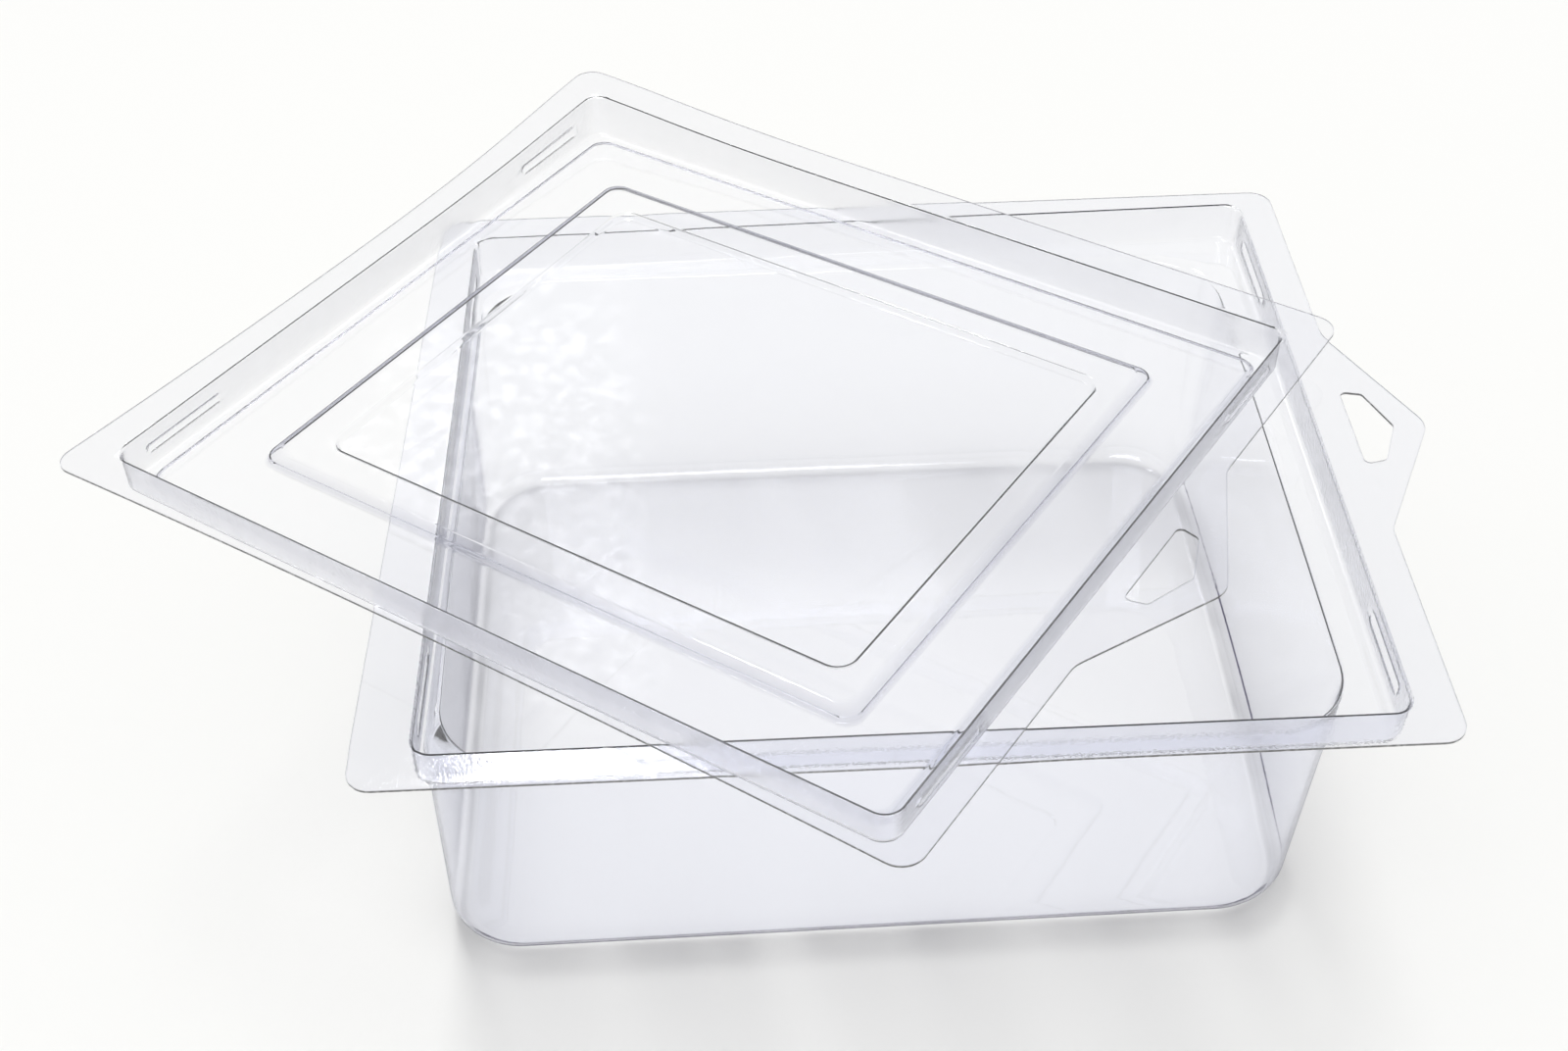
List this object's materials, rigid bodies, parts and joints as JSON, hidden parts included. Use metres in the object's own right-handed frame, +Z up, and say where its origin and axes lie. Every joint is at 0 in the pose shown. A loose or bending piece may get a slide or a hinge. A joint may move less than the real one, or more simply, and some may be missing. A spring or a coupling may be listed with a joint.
{
  "type": "clear plastic box",
  "caption": "Clear thermoformed box: a deep flanged tray with a hang tab and a plug lid with snap ribs, lid lying skewed on the tray.",
  "frame": {"origin": "centre of the tray's underside, on the surface it stands on", "axes": "+Z up out of the tray, +X along the flange's long side towards the hang tab"},
  "size_m": [0.3408, 0.3166, 0.0908],
  "materials": {
    "tray_sheet": "clear gloss sheet with a faint cool tint",
    "lid_sheet": "clear gloss sheet with a faint cool tint"
  },
  "bodies": {
    "tray": {"tray": "tray_sheet"},
    "lid": {"lid": "lid_sheet"}
  },
  "joints": [
    {"name": "lid_lift", "type": "slide", "parent": "tray", "child": "lid", "axis": [0, 0, 1], "range_m": [0, 0.1]}
  ]
}
